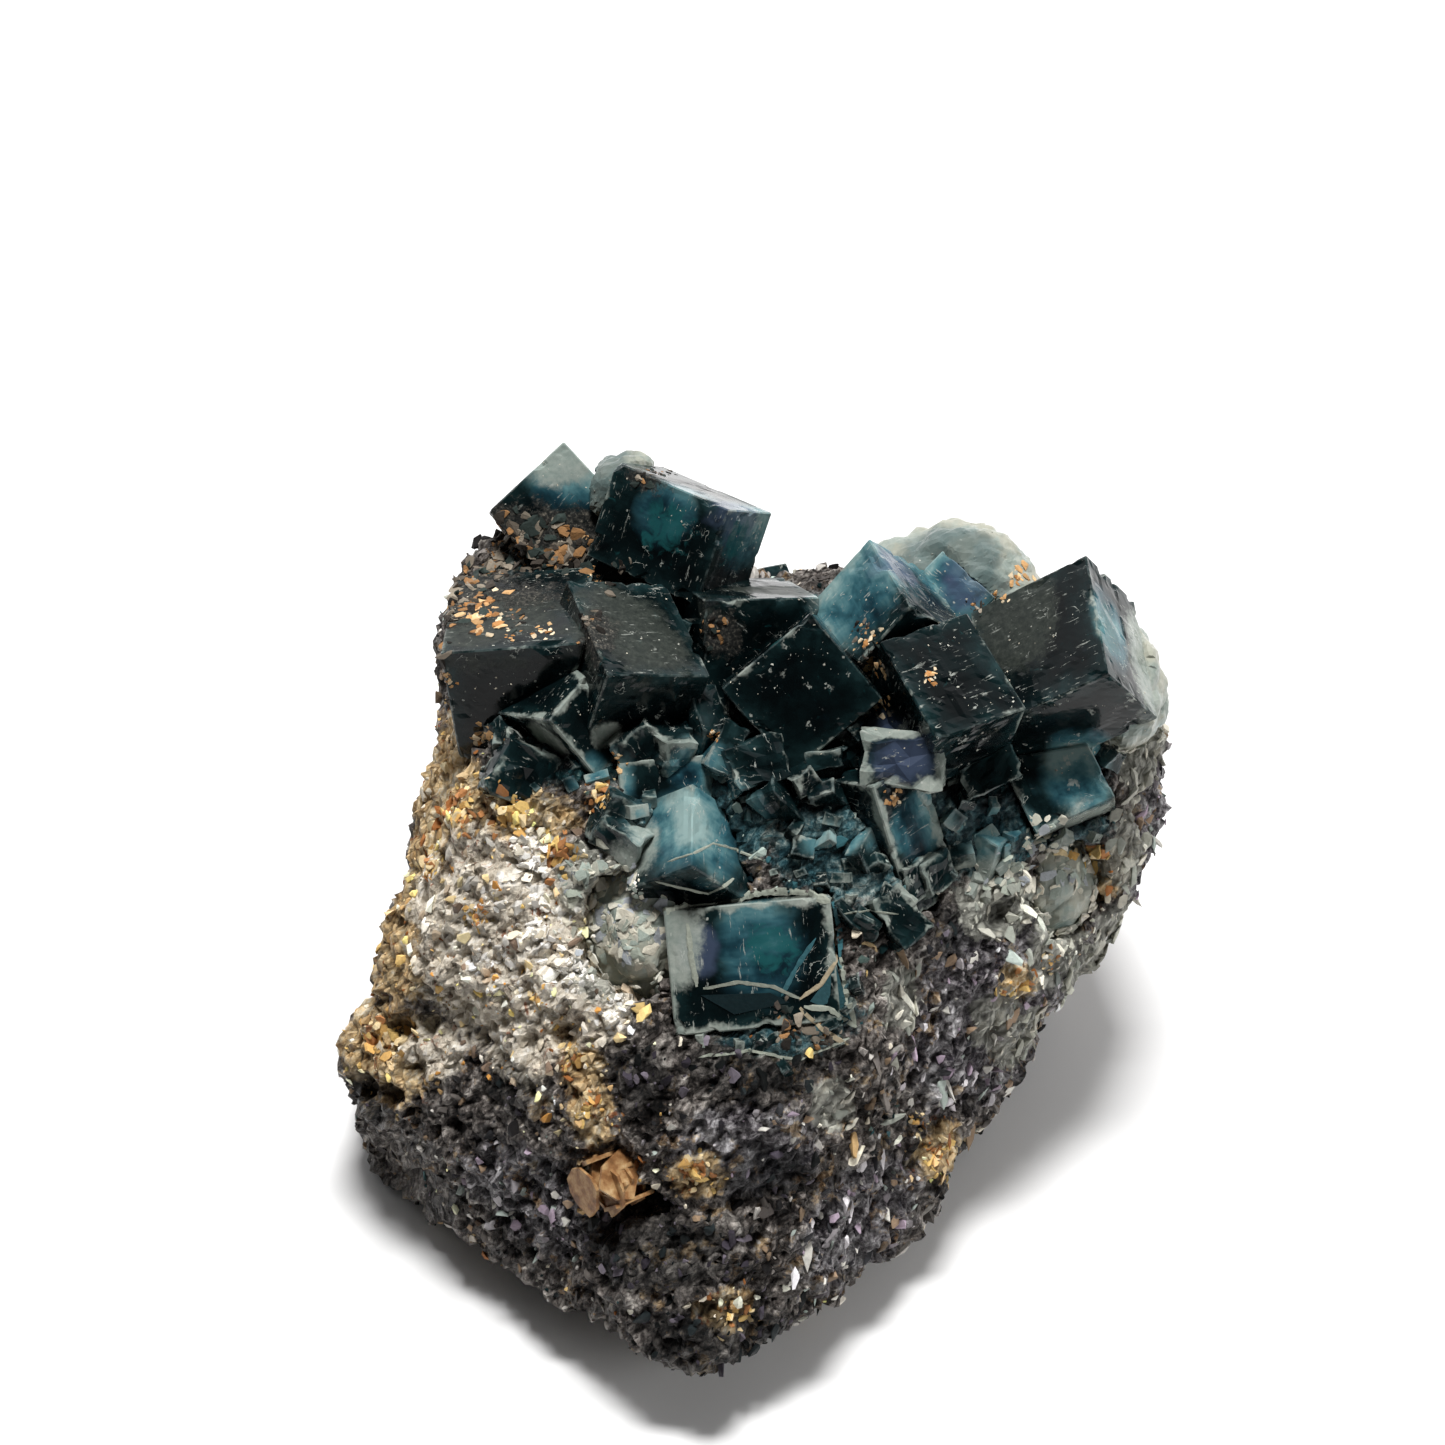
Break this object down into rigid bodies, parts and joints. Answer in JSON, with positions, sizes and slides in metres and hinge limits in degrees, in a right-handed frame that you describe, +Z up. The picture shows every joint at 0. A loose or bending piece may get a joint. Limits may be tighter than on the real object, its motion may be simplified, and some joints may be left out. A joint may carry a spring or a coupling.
{
  "type": "fluorite mineral specimen",
  "caption": "Hand-sized fluorite specimen: a druse of dark teal and blue cubic crystals on a wedge-shaped lump of granular host rock, resting on a flat base facet.",
  "frame": {"origin": "in the plane of the flat resting facet, under the middle of the lump", "axes": "+Z up from the facet, +X to the right of the display side, -Y towards the viewer of the display side"},
  "size_m": [0.0758, 0.0782, 0.054],
  "materials": {
    "host_rock": "rough, granular, grey-brown with purple, ochre and white patches",
    "dark_fluorite": "glossy, near-black teal, white specks",
    "blue_fluorite": "glossy, blue to purple zoned",
    "pale_fluorite": "waxy pale grey-green",
    "tan_shell": "matt tan, sharp-edged plates"
  },
  "bodies": {
    "root": {"back_left_cube": "dark_fluorite", "back_low_cube": "dark_fluorite", "back_middle_cube": "dark_fluorite", "back_right_cube": "dark_fluorite", "blue_cleavage_wedge": "blue_fluorite", "blue_peak_cube": "blue_fluorite", "centre_front_cube": "dark_fluorite", "centre_left_cube": "dark_fluorite", "front_window_crystal": "blue_fluorite", "left_dark_cube": "dark_fluorite", "left_peak_cube": "dark_fluorite", "lower_left_blade": "dark_fluorite", "matrix": "host_rock", "pale_back_mass": "pale_fluorite", "pale_front_rim": "pale_fluorite", "pale_rear_knob": "pale_fluorite", "pale_right_patch": "pale_fluorite", "pale_right_rim": "pale_fluorite", "pale_window_cube": "blue_fluorite", "ridge_dark_cube": "dark_fluorite", "right_dark_cube": "dark_fluorite", "right_step_cube": "dark_fluorite", "slanted_cleavage_slab": "dark_fluorite", "small_blue_cube": "blue_fluorite", "tan_shell_cluster": "tan_shell", "teal_cleavage_step": "blue_fluorite", "top_centre_cube": "dark_fluorite", "upper_back_cube": "dark_fluorite"}
  },
  "joints": []
}
